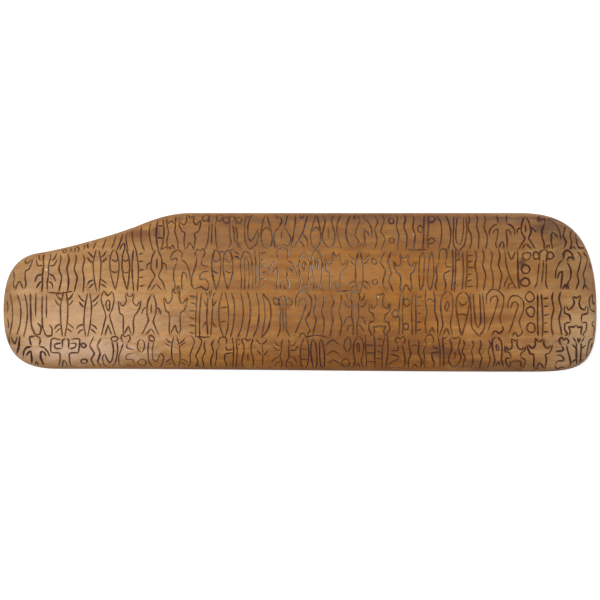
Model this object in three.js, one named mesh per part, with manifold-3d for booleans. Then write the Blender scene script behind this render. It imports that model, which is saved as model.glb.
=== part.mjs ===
// Inscribed wooden tablet: one hewn board with a notched corner, rounded-over edges and rows of
// incised signs on both faces, each given by its longest strokes.
// Millimetres. X runs along the board, towards its broad end. Y runs up its face. Z is its thickness,
// with the front face up. The board lies on the flat of its back face.
import * as THREE from 'three';
import Module from 'manifold-3d';

const wasm = await Module();
wasm.setup();

// Overall size
const LENGTH = 450;
const BREADTH = 120.5;
const THICKNESS = 20;

// Broad end: how far each corner reaches along the edge, and where the end bulges most
const BROAD_TOP_REACH = 58;
const BROAD_BOTTOM_REACH = 51;
const BROAD_BULGE_UP = 44.3;

// Narrow end: its lower corner, and where the end bulges most
const NARROW_BOTTOM_REACH = 41;
const NARROW_BULGE_UP = 46.8;
const BOTTOM_RISE = 2.2;

// Notch in the top edge, over the narrow end: a hollowed slope between two bends
const NECK_FROM_END = 26.4;
const NECK_DROP = 30.4;
const NECK_TILT = 8.6;
const SHOULDER_FROM_END = 103.5;
const SHOULDER_DROP = 9;
const SHOULDER_TILT = 22.3;
const TOP_FROM_END = 142;

// Fullness of each stretch, as a share of its reach: 0 is a straight cut, 1 runs right into the corner
const FULL_BOTTOM = 0.33;
const FULL_BROAD_LOW = [0.77, 0.94];
const FULL_BROAD_HIGH = [0.69, 0.74];
const FULL_TOP = 0.33;
const FULL_SHOULDER = [0.39, 0.28];
const FULL_SLOPE = [0.24, 0.26];
const FULL_NARROW_HIGH = [0.48, 0.69];
const FULL_NARROW_LOW = [0.69, 0.76];

// Width over which each edge is rounded down from the flat of the face
const ROUND_BOTTOM = 20;
const ROUND_BROAD_END = 17;
const ROUND_TOP = 12;
const ROUND_SLOPE = 17;
const ROUND_NARROW_END = 17;

// Rows of signs, from the top edge down, how far the top one stands over the edge, and the share of its
// row that a sign fills
const ROW_HEIGHTS = [28.2, 31.3, 34.2, 24.6];
const ROW_OVERHANG = 0.3;
const SIGN_SHARE = 0.985;

// A sign is drawn on a grid this many units high. Its width unit is the same in every row.
const GRID = 10;
const UNIT_WIDTH = 3.556;
const GAP_UNITS = 0.5;

// How unevenly the signs stand: the span of each one's width, height, lean, level and gap, the share that
// faces the other way, how far a row sways, and how far the hand trembles
const WIDTHS = [0.88, 1.08];
const HEIGHTS = [0.93, 1.07];
const LEANS = [-0.06, 0.06];
const LIFTS = [-1.3, 0.5];
const GAPS = [0.75, 1.3];
const ROW_STARTS = [0, 6];
const TURNED_SHARE = 0.4;
const ROW_SWAY = 0.7;
const SWAY_LENGTH = 38;
const TREMBLE = 0.4;
const TREMBLE_LENGTHS = [1.9, 1.3, 1.6, 2.1];

// Main cuts: V-shaped grooves for the longest strokes of each sign. They stop where the rounding turns
// steep. Short ones are left out, as are those that would cross the middle of the back, where the mount
// rests.
const CUT_WIDTH = 1.3;
const CUT_DEPTH = 0.95;
const CUT_LIFT = 0.6;
const CUT_REACH = 0.5;
const SHORTEST_CUT = 17;
const CLIP_HALVINGS = 8;
const BEND_SLACK = 1.4;
const SHARPEST_MITRE = 1.4;
const MOUNT_CLEARANCE = 6;
const FRONT_SEED = 11;
const BACK_SEED = 23;

// Facets
const CORNER_STEPS = 18;
const LONG_STEPS = 10;
const ROUNDING_STEPS = 8;

const DEGREE = Math.PI / 180;

// A station is a point that the outline passes through, the way it heads there,
// and the width of the rounding beside it. The stations run anticlockwise.
function station(x, y, degrees, rounding) {
  const heading = new THREE.Vector2(Math.cos(degrees * DEGREE), Math.sin(degrees * DEGREE));
  return { point: new THREE.Vector2(x, y), heading, rounding };
}

function outlineStations() {
  const right = LENGTH / 2;
  const left = -LENGTH / 2;
  const top = BREADTH / 2;
  const bottom = -BREADTH / 2;
  return [
    station(left + NARROW_BOTTOM_REACH, bottom + BOTTOM_RISE, 0, ROUND_BOTTOM),
    station(right - BROAD_BOTTOM_REACH, bottom, 0, ROUND_BOTTOM),
    station(right, bottom + BROAD_BULGE_UP, 90, ROUND_BROAD_END),
    station(right - BROAD_TOP_REACH, top, 180, ROUND_TOP),
    station(left + TOP_FROM_END, top, 180, ROUND_TOP),
    station(left + SHOULDER_FROM_END, top - SHOULDER_DROP, 180 + SHOULDER_TILT, ROUND_SLOPE),
    station(left + NECK_FROM_END, top - NECK_DROP, 180 + NECK_TILT, ROUND_SLOPE),
    station(left, bottom + NARROW_BULGE_UP, 270, ROUND_NARROW_END),
  ];
}

// Fullness at the start and end of the stretch that leaves each station, and its number of facets
const STRETCHES = [
  { fullness: [FULL_BOTTOM, FULL_BOTTOM], steps: LONG_STEPS },
  { fullness: FULL_BROAD_LOW, steps: CORNER_STEPS },
  { fullness: FULL_BROAD_HIGH, steps: CORNER_STEPS },
  { fullness: [FULL_TOP, FULL_TOP], steps: LONG_STEPS },
  { fullness: FULL_SHOULDER, steps: LONG_STEPS },
  { fullness: FULL_SLOPE, steps: LONG_STEPS },
  { fullness: FULL_NARROW_HIGH, steps: CORNER_STEPS },
  { fullness: FULL_NARROW_LOW, steps: CORNER_STEPS },
];

// The outline's points, with each station moved inwards by its share of the rounding's width.
// A share of 0 is the board's widest outline, and 1 is the edge of the flat.
function outline(share) {
  const stations = outlineStations();
  for (const s of stations) {
    const inwards = new THREE.Vector2(-s.heading.y, s.heading.x);
    s.point.addScaledVector(inwards, s.rounding * share);
  }
  const points = [];
  STRETCHES.forEach(({ fullness, steps }, i) => {
    const from = stations[i];
    const to = stations[(i + 1) % stations.length];
    const gap = to.point.clone().sub(from.point);
    const leave = from.point.clone().addScaledVector(from.heading, fullness[0] * gap.dot(from.heading));
    const arrive = to.point.clone().addScaledVector(to.heading, -fullness[1] * gap.dot(to.heading));
    const curve = new THREE.CubicBezierCurve(from.point, leave, arrive, to.point);
    points.push(...curve.getPoints(steps).slice(0, steps));
  });
  return points;
}

const WIDEST = outline(0);
const FLAT = outline(1);

// The board is a loft: rings of one outline that swell from the back flat to the widest line and
// draw in again to the front flat, along a quarter of an ellipse on each side.
function boardGeometry() {
  const count = WIDEST.length;
  const positions = [];
  for (let ring = 0; ring <= ROUNDING_STEPS; ring += 1) {
    const angle = Math.PI * (ring / ROUNDING_STEPS - 0.5);
    const spread = ring === 0 || ring === ROUNDING_STEPS ? 0 : Math.cos(angle);
    const z = (THICKNESS / 2) * (1 + Math.sin(angle));
    for (let i = 0; i < count; i += 1) {
      const p = FLAT[i].clone().lerp(WIDEST[i], spread);
      positions.push(p.x, p.y, z);
    }
  }

  const triangles = [];
  for (let ring = 0; ring < ROUNDING_STEPS; ring += 1) {
    for (let i = 0; i < count; i += 1) {
      const next = (i + 1) % count;
      const a = ring * count + i;
      const b = ring * count + next;
      const c = a + count;
      const d = b + count;
      triangles.push(a, b, d, a, d, c);
    }
  }

  const front = ROUNDING_STEPS * count;
  for (const [a, b, c] of THREE.ShapeUtils.triangulateShape(FLAT, [])) {
    triangles.push(a, c, b);
    triangles.push(front + a, front + b, front + c);
  }
  return { positions, triangles };
}

function solid({ positions, triangles }) {
  return new wasm.Manifold(new wasm.Mesh({
    numProp: 3,
    vertProperties: new Float32Array(positions),
    triVerts: new Uint32Array(triangles),
  }));
}

// How far a point lies from a closed line, positive inside it
function depthInside(point, loop) {
  let nearest = Infinity;
  let inside = false;
  for (let i = 0; i < loop.length; i += 1) {
    const a = loop[i];
    const b = loop[(i + 1) % loop.length];
    const run = b.clone().sub(a);
    const offset = point.clone().sub(a);
    const t = THREE.MathUtils.clamp(offset.dot(run) / run.lengthSq(), 0, 1);
    nearest = Math.min(nearest, offset.addScaledVector(run, -t).length());
    if (a.y > point.y !== b.y > point.y && point.x < a.x + ((point.y - a.y) / run.y) * run.x) {
      inside = !inside;
    }
  }
  return inside ? nearest : -nearest;
}

// The signs' main strokes, drawn about x = 0, from y = 0 at the foot to y = 10 at the head
const mirrored = (stroke) => stroke.map(([x, y]) => [-x, y]);
const pair = (...stroke) => [stroke, mirrored(stroke)];
const shifted = (strokes, dx) => strokes.map((stroke) => stroke.map(([x, y]) => [x + dx, y]));

// The first and last of several strokes that stand side by side
function outermost(count, step, stroke) {
  return [-1, 1].flatMap((side) => shifted([stroke], (side * (count - 1) * step) / 2));
}

function ring(x, y, rx, ry) {
  const corners = 6;
  return Array.from({ length: corners + 1 }, (_, i) => {
    const turn = (2 * Math.PI * i) / corners;
    return [x + rx * Math.sin(turn), y + ry * Math.cos(turn)];
  });
}

const WAVE = [[0.1, 10], [0, 6], [0.5, 3.8], [0, 0]];
const BOW = [[-0.3, 10], [0.6, 5], [-0.4, 0]];
const SWAN_LINE = [[-0.3, 10], [0.7, 8.4], [-0.4, 4], [0, 2.2], [-0.7, 0.1]];
const ZIGZAG = [[0.5, 10], [-0.5, 7.4], [0.4, 4.9], [-0.4, 2.5], [0.5, 0]];
const SEED = ring(0, 5, 0.62, 4.6);

// Each kind of sign: how often it comes, how far it reaches to the left and right, and its two longest
// strokes. Some have one, and some only short strokes.
const SIGNS = Object.values({
  fourWaves: [4, -2.625, 3.125, outermost(4, 1.75, WAVE)],
  threeWaves: [3, -1.75, 2.25, outermost(3, 1.75, WAVE)],
  twoWaves: [2, -0.875, 1.375, outermost(2, 1.75, WAVE)],
  fourBows: [2, -3.1, 3.3, outermost(4, 1.8, BOW)],
  threeBows: [3, -2.2, 2.4, outermost(3, 1.8, BOW)],
  twoBows: [2, -1.3, 1.5, outermost(2, 1.8, BOW)],
  toothRod: [4, -0.95, 1.3, shifted(pair([0.3, 10], [0.55, 6], [0.35, 0]), -0.4)],
  thornRod: [5, -2.3, 2.3, pair([0.25, 10], [0.75, 7], [0.75, 3], [0.2, 0])],
  barredLens: [3, -1, 1, pair([0.25, 10], [0.85, 7.4], [1, 4.8], [0.15, 0])],
  chevronLeaf: [2, -1.3, 1.3, pair([0, 10], [0.95, 9.2], [1.3, 6.9], [0.05, 0])],
  chevrons: [1, -1.7, 1.7, []],
  rings: [2, -0.926, 0.926, [ring(0, 8.6, 0.95, 1.05), ring(0, 2.1, 0.95, 1.05)]],
  turtle: [7, -2.55, 2.55, pair([2.55, 8.2], [2.5, 6.6], [1.25, 4.7], [0.95, 0.1])],
  walker: [3, -2.8, 2.8, pair([2.1, 3.8], [1.05, 5.3], [0.95, 3.4], [1.1, 0.1])],
  eared: [4, -2.084, 2.084, pair([0, 10], [0.8, 8], [0.6, 6.8], [0.8, 2], [1.4, 0.1])],
  gourd: [4, -1.25, 1.25, pair([0.95, 10], [0.75, 7.9], [1.25, 3.8], [1.15, 1.7], [0, 0.1])],
  archFish: [5, -1.3, 1.3, pair([0, 10], [1.2, 7], [0.75, 2.6], [1.3, 0.2])],
  tallFork: [3, -1.9, 1.5, [
    [[-1.5, 10], [-1.2, 6.6], [-0.4, 3.4], [1, 0]],
    [[1.2, 10], [1.1, 6], [1.5, 0]],
  ]],
  hook: [3, -1.9, 1.8, [
    [[-1.7, 6.6], [-1.6, 8.6], [-0.6, 9.8], [0.8, 9.8], [1.8, 8.4], [1.7, 6.4], [0.7, 3.8]],
    [[-1, 6.8], [0.3, 8.6], [0.1, 5.6], [-1.9, 0.8]],
  ]],
  fishHook: [3, -1.65, 1.5, [
    [[-1.45, 8.5], [-1.65, 5.6], [-1.4, 2], [-0.2, 0.1], [1.1, 1.2], [1.1, 4.9]],
    [[-0.5, 8.5], [-0.85, 5.8], [0, 2], [1.1, 4.9]],
  ]],
  nestedCup: [3, -1.45, 1.45, pair([1.25, 10], [1.45, 6], [1.25, 2], [0, 0])],
  hornedArch: [3, -2.4, 1.3, [
    [[-1.2, 0], [-1.1, 7.8], [-0.3, 9.8], [0.8, 9.4], [1.3, 7.4], [1.1, 0]],
    [[-0.4, 0], [-0.35, 7], [0.1, 8.4], [0.55, 7], [0.35, 0]],
  ]],
  sitter: [5, -1.4, 2.2, [
    [[-0.5, 7.8], [-0.7, 6], [-1.4, 1.4], [-0.8, 0.2]],
    [[2, 4.6], [0.8, 4.4], [0.1, 3.6], [1.4, 2.5], [2.2, 1.2]],
  ]],
  swanLines: [3, -1.5, 1.4, [...shifted([SWAN_LINE], -0.8), ...shifted([SWAN_LINE], 0.65)]],
  longDrop: [2, -1.1, 1.1, pair([0, 10], [0.65, 7.4], [1.1, 3.4], [0, 0])],
  lensAndRing: [2, -0.826, 1.026, [ring(0.1, 2, 0.95, 1.15)]],
  squareArms: [2, -2.9, 2.9, pair([0.9, 9.6], [2.9, 9.7], [2.8, 5.5], [1.1, 5.1], [1.3, 0.1])],
  bird: [4, -2.1, 2.5, [
    [[-2.1, 7.5], [-1.5, 9.2], [-0.4, 10], [0.4, 7.7]],
    [[-0.5, 7], [-1.3, 3.2], [-0.9, 0.1]],
  ]],
  zigzags: [3, -2.604, 1.9, [...shifted([ZIGZAG], -0.1), ...shifted([ZIGZAG], 1.4)]],
  anchor: [2, -1.5, 1.5, [[[0, 8.4], [0, 1.2]]]],
  hourglass: [3, -1.4, 1.4, pair([0.75, 10], [1.3, 8.2], [0.35, 4.6], [1.4, 0.1])],
  crescent: [1, -1.1, 0.8, [
    [[0.8, 10], [-0.6, 8], [-1.1, 5], [-0.7, 2.2], [0.8, 0]],
    [[0.6, 9], [0, 5], [0.6, 1]],
  ]],
  ladder: [1, -1.05, 1.05, pair([0.95, 10], [1, 0])],
  bowedFish: [3, -1.3, 1.3, pair([0.85, 10], [1.05, 7.6], [0.85, 5.2], [1.2, 0.2])],
  curledPole: [3, -0.9, 1.1, [
    [[-0.7, 10], [-0.9, 6], [-0.8, 2.4], [-0.1, 0.3], [0.9, 0.5], [1.1, 2.1]],
    [[0.3, 9.9], [0.1, 4.4]],
  ]],
  seedPair: [2, -1.62, 1.62, outermost(2, 2, SEED)],
  dancer: [3, -2.4, 2.4, pair([0.8, 9.8], [0.55, 8], [0.9, 6.8], [1.7, 6.4], [2.1, 7.6])],
  clawPlant: [2, -1.5, 1.5, pair([0.45, 8.6], [0.3, 0])],
  raisedArms: [4, -2.9, 2.9, pair([2.2, 9.2], [2.9, 8], [2.5, 6], [1, 3.9])],
  pods: [2, -2.4, 2.4, shifted(pair([0.1, 10], [1.05, 6.2], [0, 0.1]), -1.35)],
  crab: [4, -2.7, 2.7, pair([0.5, 10], [0.9, 8.4], [0.85, 4.2], [0.6, 0])],
  holder: [4, -1.9, 3.6, [
    [[1.9, 10], [2.1, 6], [1.9, 0]],
    [[2.7, 9.9], [2.6, 0.1]],
  ]],
  loopStaff: [2, -1.982, 2.002, pair([0.35, 10], [0.45, 6], [0.55, 0])],
  splitTail: [3, -2.2, 2.2, pair([0.15, 10], [1.1, 5.4], [0.45, 3.6], [2, 0.2])],
  comb: [3, -1.1, 1.3, [
    [[-1.1, 10], [-0.9, 5], [-1.1, 0]],
    [[-0.2, 10], [0, 5], [-0.2, 0]],
  ]],
  longNeck: [3, -2, 1.9, [
    [[1.9, 8.2], [0.2, 10], [-0.9, 9.2], [-0.9, 7.4], [-0.4, 5.4]],
    [[0.7, 5.6], [1.9, 2.4], [1.3, 0.2]],
  ]],
});

// A repeatable run of numbers
class Dice {
  constructor(seed) {
    this.state = seed;
  }

  between([low, high]) {
    this.state = (Math.imul(this.state, 1664525) + 1013904223) >>> 0;
    return low + (high - low) * (this.state / 2 ** 32);
  }

  // Every kind of sign as often as its weight says, in mixed order
  mixedSigns() {
    const bag = SIGNS.flatMap((sign) => Array(sign[0]).fill(sign));
    for (let i = bag.length - 1; i > 0; i -= 1) {
      const j = Math.floor(this.between([0, i + 1]));
      [bag[i], bag[j]] = [bag[j], bag[i]];
    }
    return bag;
  }
}

// A place on the face, moved a little as a hand strays
function trembled(x, y) {
  const [a, b, c, d] = TREMBLE_LENGTHS;
  return new THREE.Vector2(x + TREMBLE * Math.sin(x / a + y / b), y + TREMBLE * Math.sin(x / c - y / d));
}

// The main strokes of one face, row by row. The rows run the other way on the back.
function faceStrokes(seed, turn) {
  const dice = new Dice(seed);
  const strokes = [];
  let bag = [];
  let foot = BREADTH / 2 + ROW_OVERHANG;
  for (const height of ROW_HEIGHTS) {
    foot -= height;
    const unit = (height * SIGN_SHARE) / GRID;
    const sway = dice.between([0, 2 * Math.PI]);
    let x = -LENGTH / 2 + dice.between(ROW_STARTS);
    while (x < LENGTH / 2) {
      if (bag.length === 0) bag = dice.mixedSigns();
      const [, left, right, drawing] = bag.pop();
      const facing = dice.between([0, 1]) < TURNED_SHARE ? -1 : 1;
      const wide = UNIT_WIDTH * dice.between(WIDTHS);
      const tall = unit * dice.between(HEIGHTS);
      const lean = dice.between(LEANS);
      const level = foot + ROW_SWAY * Math.sin(x / SWAY_LENGTH + sway) + dice.between(LIFTS);
      const half = ((right - left) / 2) * wide;
      for (const stroke of drawing) {
        strokes.push(stroke.map(([px, py]) => {
          const across = (px - (left + right) / 2) * facing + lean * (py - GRID / 2);
          const point = trembled(x + half + across * wide, level + py * tall);
          return point.setX(point.x * turn);
        }));
      }
      x += 2 * half + GAP_UNITS * unit * dice.between(GAPS);
    }
  }
  return strokes;
}

// How far out over the rounding a point lies: 0 on the flat and 1 at the widest line
function spreadAt(point) {
  const out = depthInside(point, WIDEST);
  const toFlat = -depthInside(point, FLAT);
  if (toFlat <= 0) return 0;
  return out <= 0 ? 1 : toFlat / (out + toFlat);
}

const faceHeight = (point) => (THICKNESS / 2) * (1 + Math.sqrt(1 - spreadAt(point) ** 2));

// The front face over a point: how high it lies, and which way it faces
function faceAt(point) {
  const height = (dx, dy) => faceHeight(new THREE.Vector2(point.x + dx, point.y + dy));
  const nudge = 0.5;
  const normal = new THREE.Vector3(
    (height(-nudge, 0) - height(nudge, 0)) / (2 * nudge),
    (height(0, -nudge) - height(0, nudge)) / (2 * nudge),
    1,
  ).normalize();
  return { place: new THREE.Vector3(point.x, point.y, height(0, 0)), normal };
}

// The stroke without the points that bend it only slightly
function simplified(stroke) {
  const kept = [stroke[0]];
  for (let i = 1; i < stroke.length - 1; i += 1) {
    const [from, to] = [kept.at(-1), stroke[i + 1]];
    const run = to.clone().sub(from);
    const off = Math.abs(run.cross(stroke[i].clone().sub(from))) / run.length();
    if (off > BEND_SLACK) kept.push(stroke[i]);
  }
  return [...kept, stroke.at(-1)];
}

// Whether a groove can be cut at a point
const carvable = (point) => depthInside(point, WIDEST) > 0 && spreadAt(point) < CUT_REACH;

// The furthest point that a groove can reach on its way from one point to another
function furthest(from, to) {
  let [near, far] = [from, to];
  for (let halving = 0; halving < CLIP_HALVINGS; halving += 1) {
    const middle = near.clone().lerp(far, 0.5);
    if (carvable(middle)) near = middle;
    else far = middle;
  }
  return near;
}

// The points that a groove needs on its way to a point, so that the face bulges over it nowhere
function overFace(from, to) {
  const middle = from.clone().lerp(to, 0.5);
  const bulge = faceHeight(middle) - (faceHeight(from) + faceHeight(to)) / 2;
  return bulge < CUT_LIFT / 2 ? [to] : [...overFace(from, middle), ...overFace(middle, to)];
}

// The parts of a stroke that a groove can follow
function grooveLines(stroke) {
  const bent = simplified(stroke);
  const points = bent.flatMap((point, i) => (i === 0 ? [point] : overFace(bent[i - 1], point)));
  const lines = [[]];
  points.forEach((point, i) => {
    const line = lines.at(-1);
    const before = points[i - 1];
    if (carvable(point)) {
      if (before && line.length === 0) line.push(furthest(point, before));
      line.push(point);
    } else if (line.length > 0) {
      line.push(furthest(before, point));
      lines.push([]);
    }
  });
  for (const line of lines) {
    if (line.length > 2 && line[0].distanceTo(line[1]) < CUT_WIDTH) line.splice(1, 1);
    if (line.length > 2 && line.at(-1).distanceTo(line.at(-2)) < CUT_WIDTH) line.splice(-2, 1);
  }
  const length = (line) => line.slice(1).reduce((sum, point, i) => sum + point.distanceTo(line[i]), 0);
  return lines.filter((line) => length(line) > SHORTEST_CUT);
}

function crossesMiddle(line) {
  const middle = new THREE.Vector3();
  return line.slice(1).some((to, i) => {
    const span = new THREE.Line3(new THREE.Vector3(line[i].x, line[i].y, 0), new THREE.Vector3(to.x, to.y, 0));
    return span.closestPointToPoint(middle, true, new THREE.Vector3()).length() < MOUNT_CLEARANCE;
  });
}

// The wedge that cuts one groove: a V-shaped section at each point, standing a little out of the face.
// One for the back is made over the front face and turned over.
function wedge(line, turned) {
  const closed = line.length > 3 && line[0].distanceTo(line.at(-1)) < CUT_WIDTH;
  const points = closed ? line.slice(0, -1) : line;
  const count = points.length;
  const positions = [];
  const triangles = [];
  const heading = (i) => points[(i + 1) % count].clone().sub(points[i]).normalize();
  for (let i = 0; i < count; i += 1) {
    const before = closed || i > 0 ? heading((i + count - 1) % count) : heading(0);
    const after = closed || i < count - 1 ? heading(i) : before;
    const along = before.clone().add(after).normalize();
    const mitre = 1 / Math.max(along.dot(before), 1 / SHARPEST_MITRE);
    const half = (CUT_WIDTH / 2) * mitre * ((CUT_DEPTH + CUT_LIFT) / CUT_DEPTH);
    const { place, normal } = faceAt(points[i]);
    const side = new THREE.Vector3().crossVectors(normal, new THREE.Vector3(along.x, along.y, 0)).normalize();
    const top = place.clone().addScaledVector(normal, CUT_LIFT);
    positions.push(...top.clone().addScaledVector(side, half));
    positions.push(...top.clone().addScaledVector(side, -half));
    positions.push(...place.clone().addScaledVector(normal, -CUT_DEPTH));
    if (!closed && i === count - 1) break;
    const [here, next] = [3 * i, 3 * ((i + 1) % count)];
    for (const [a, b] of [[0, 1], [1, 2], [2, 0]]) {
      triangles.push(here + a, here + b, next + b, here + a, next + b, next + a);
    }
  }
  const last = 3 * (count - 1);
  if (!closed) triangles.push(0, 2, 1, last, last + 1, last + 2);
  if (turned) {
    for (let i = 2; i < positions.length; i += 3) positions[i] = THICKNESS - positions[i];
    triangles.reverse();
  }
  return solid({ positions, triangles });
}

function tabletGeometry() {
  const front = faceStrokes(FRONT_SEED, 1).flatMap(grooveLines);
  const back = faceStrokes(BACK_SEED, -1).flatMap(grooveLines).filter((line) => !crossesMiddle(line));
  const wedges = [...front.map((line) => wedge(line, false)), ...back.map((line) => wedge(line, true))];
  const cuts = wedges.reduce((all, one) => all.add(one));
  const carved = solid(boardGeometry()).subtract(cuts).getMesh();
  const geometry = new THREE.BufferGeometry();
  geometry.setAttribute('position', new THREE.Float32BufferAttribute(carved.vertProperties, 3));
  geometry.setIndex(Array.from(carved.triVerts));
  geometry.computeVertexNormals();
  return geometry;
}

// Oiled hardwood, orange brown with a satin shine
const wood = new THREE.MeshStandardMaterial({
  name: 'oiled_wood',
  color: '#a6784b',
  roughness: 0.45,
  metalness: 0,
});

const tablet = new THREE.Mesh(tabletGeometry(), wood);
tablet.name = 'tablet';

const part = new THREE.Group();
part.add(tablet);

export default part;
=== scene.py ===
"""An inscribed wooden tablet on a pale floor, seen straight from above.

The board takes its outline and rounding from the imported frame. Its two faces are triangulated round
every incised stroke, so the signs are real cuts in the mesh. Lengths are in millimetres, apart from
those of Blender's own objects, which are in metres.
"""

import math
import random

import bpy
import numpy as np
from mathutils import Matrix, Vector
from mathutils.geometry import delaunay_2d_cdt
from mathutils.kdtree import KDTree


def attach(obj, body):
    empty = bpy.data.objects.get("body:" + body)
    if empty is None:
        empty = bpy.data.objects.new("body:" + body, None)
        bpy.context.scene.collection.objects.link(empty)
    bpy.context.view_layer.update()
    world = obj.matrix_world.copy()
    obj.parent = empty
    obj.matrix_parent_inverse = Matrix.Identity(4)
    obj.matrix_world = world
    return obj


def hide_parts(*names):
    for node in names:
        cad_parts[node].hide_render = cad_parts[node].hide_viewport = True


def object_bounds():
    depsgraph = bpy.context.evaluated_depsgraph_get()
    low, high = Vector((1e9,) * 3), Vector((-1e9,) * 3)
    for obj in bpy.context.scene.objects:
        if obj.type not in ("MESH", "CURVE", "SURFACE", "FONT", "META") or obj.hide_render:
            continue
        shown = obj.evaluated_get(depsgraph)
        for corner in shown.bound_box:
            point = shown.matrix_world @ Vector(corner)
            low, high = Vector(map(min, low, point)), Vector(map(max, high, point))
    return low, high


# A millimetre in metres, and what stands in for a zero divisor
MM = 0.001
TINY = 1e-9

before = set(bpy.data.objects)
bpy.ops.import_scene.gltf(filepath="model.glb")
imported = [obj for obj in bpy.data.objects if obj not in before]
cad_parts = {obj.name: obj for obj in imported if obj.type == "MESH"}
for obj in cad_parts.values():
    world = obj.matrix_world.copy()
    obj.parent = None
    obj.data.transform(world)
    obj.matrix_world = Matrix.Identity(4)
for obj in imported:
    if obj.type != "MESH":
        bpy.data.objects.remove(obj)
cad_low, cad_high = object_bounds()

THICKNESS = (cad_high.z - cad_low.z) / MM
LENGTH = (cad_high.x - cad_low.x) / MM
BREADTH = (cad_high.y - cad_low.y) / MM

# Rows of signs from the top, how far the first stands over the edge, and a sign's share of its row.
# These values and the next ones are the solid's, so that its grooves lie under the signs here.
ROW_HEIGHTS = (28.2, 31.3, 34.2, 24.6)
ROW_OVERHANG = 0.3
SIGN_SHARE = 0.985

# A sign is drawn on a grid that is this many units high
GRID = 10
UNIT_WIDTH = 3.556
GAP_UNITS = 0.5

# How unevenly the signs stand
WIDTHS = (0.88, 1.08)
HEIGHTS = (0.93, 1.07)
LEANS = (-0.06, 0.06)
LIFTS = (-1.3, 0.5)
GAPS = (0.75, 1.3)
ROW_STARTS = (0, 6)
TURNED_SHARE = 0.4
ROW_SWAY = 0.7
SWAY_LENGTH = 38
TREMBLE = 0.4
TREMBLE_LENGTHS = (1.9, 1.3, 1.6, 2.1)
FRONT_SEED = 11
BACK_SEED = 23

# The share of the signs that a stroke joins to the next one, and how that stroke strays
JOINED_SHARE = 0.1
JOIN_LEVELS = (-0.5, 0.6)
JOIN_DIPS = (-2.2, 2.2)

# Cuts: their size, how they taper to a share of it at their ends, and the power of their section
CUT_HALF_WIDTH = 0.7
CUT_DEPTH = 0.95
CUT_TAPER = 2.6
TAPER_SHARE = 0.22
END_WIDTH = 0.25
END_DEPTH = 0.15
CUT_SECTION = 1.35

# The cuts' lines, in points this step apart
STROKE_STEP = 0.4
STROKE_STIFFNESS = 0.45
SHORTEST_CUT = 5
CLOSED_GAP = 0.05
EDGE_MARGIN = 1.1

# How the cuts differ, and each swell's share and length
CUT_SEED = 100
BOLDNESS = (0.82, 1.14)
SWELLS = ((0.13, 2.1), (0.07, 0.8))
SWELL_PHASES = (0, 6)

# How bold the cuts are in the middle, and what the ends and the lowest row add to that
BOLD_MIDDLE = 0.93
BOLD_ENDS = 0.16
BOLD_LOW_ENDS = 0.28
BOLD_LOW_ROW = -0.08
ENDS_FROM = 120
ENDS_OVER = 90
LOW_ROW_FROM = -25
LOW_ROW_OVER = 15

# The faces' slight unevenness, in ripples that are longer along the board
RIPPLES = 9
RIPPLE_LENGTHS = (22, 70)
RIPPLE_HEIGHT = 0.035
RIPPLE_STRETCH = 0.5

# Mesh spacing. A row over the rounding is a share of the way out and a stride, and a row along a cut
# is a share of its half width.
RING_STEP = 1.5
ROUNDING_ROWS = ((0.985, 1), (0.94, 1), (0.87, 1), (0.77, 1), (0.63, 2), (0.45, 2), (0.24, 2))
FIELD_STEP = 2.6
FIELD_RISE = FIELD_STEP * 0.87
FIELD_STRAY = (-0.2, 0.2)
FIELD_SEED = 5
FRONT_ROWS = (-1, -0.5, 0, 0.5, 1)
BACK_ROWS = (-1, 0, 1)
CUT_CLEARANCE = 0.45
MERGE_GAP = 1e-3
SHARP_ANGLE = 27
PATTERN_MARGIN = 16

# How high up the rounding the cuts set in, and over how much of it they reach their depth
FADE_FROM = 0.18
FADE_OVER = 0.4


# The board's form

def ring_at(height):
    """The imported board's outline at a height in mm, as points in order round its middle.

    A point of the outline lies at the same place on the front and on the back, and a groove's doesn't.
    """
    slack = 0.01

    def points_at(level):
        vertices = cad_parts["tablet"].data.vertices
        near = [v.co / MM for v in vertices if abs(v.co.z / MM - level) < slack]
        return {(round(co.x, 2), round(co.y, 2)) for co in near}
    shared = points_at(height) & points_at(THICKNESS - height)
    return np.array(sorted(shared, key=lambda point: math.atan2(point[1], point[0])))


def spline(points, step, closed=False, stiff=0.0):
    """A smooth line through the points, sampled about every step. Stiffness straightens its runs."""
    points = np.asarray(points, float)
    if closed:
        padded = np.vstack([points[-1], points, points[:2]])
    else:
        padded = np.vstack([2 * points[0] - points[1], points, 2 * points[-1] - points[-2]])
    gaps = np.sqrt(np.hypot(*np.diff(padded, axis=0).T)) + 1e-6
    runs = []
    for i in range(len(padded) - 3):
        a, b, c, d = padded[i:i + 4]
        k1, k2, k3 = np.cumsum(gaps[i:i + 3])
        count = max(1, int(np.ceil(np.hypot(*(c - b)) / step)))
        t = np.linspace(k1, k2, count, endpoint=False)[:, None]
        ab = a + (b - a) * t / k1
        bc = b + (c - b) * (t - k1) / (k2 - k1)
        cd = c + (d - c) * (t - k2) / (k3 - k2)
        abc = ab + (bc - ab) * t / k2
        bcd = bc + (cd - bc) * (t - k1) / (k3 - k1)
        curve = abc + (bcd - abc) * (t - k1) / (k2 - k1)
        chord = b + (c - b) * (t - k1) / (k2 - k1)
        runs.append(curve + (chord - curve) * stiff)
    if not closed:
        runs.append(points[-1:])
    return np.vstack(runs)


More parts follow.
